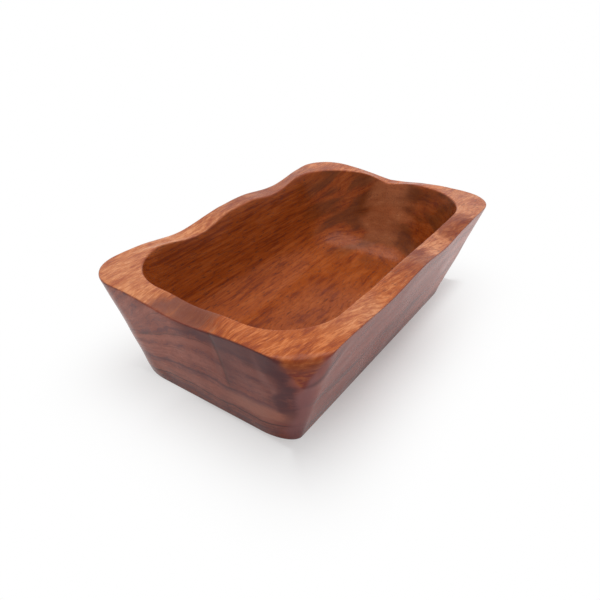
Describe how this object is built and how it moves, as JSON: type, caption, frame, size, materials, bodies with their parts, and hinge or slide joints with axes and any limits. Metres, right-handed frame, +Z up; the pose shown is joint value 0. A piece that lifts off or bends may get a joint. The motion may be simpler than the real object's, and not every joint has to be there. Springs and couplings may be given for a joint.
{
  "type": "wooden serving bowl",
  "caption": "Rounded rectangular serving bowl carved from one block of hardwood, with leaning walls, a wavy rim and a flat base.",
  "frame": {"origin": "middle of the base, on the surface that the bowl stands on", "axes": "+X along the bowl's length, from the left end to the right end; +Y from the front to the back; +Z up, out of the mouth"},
  "size_m": [0.2396, 0.1514, 0.0675],
  "materials": {
    "oiled_hardwood": "oiled red-brown hardwood with darker and paler figure, smooth, low sheen"
  },
  "bodies": {
    "root": {"bowl_body": "oiled_hardwood"}
  },
  "joints": []
}
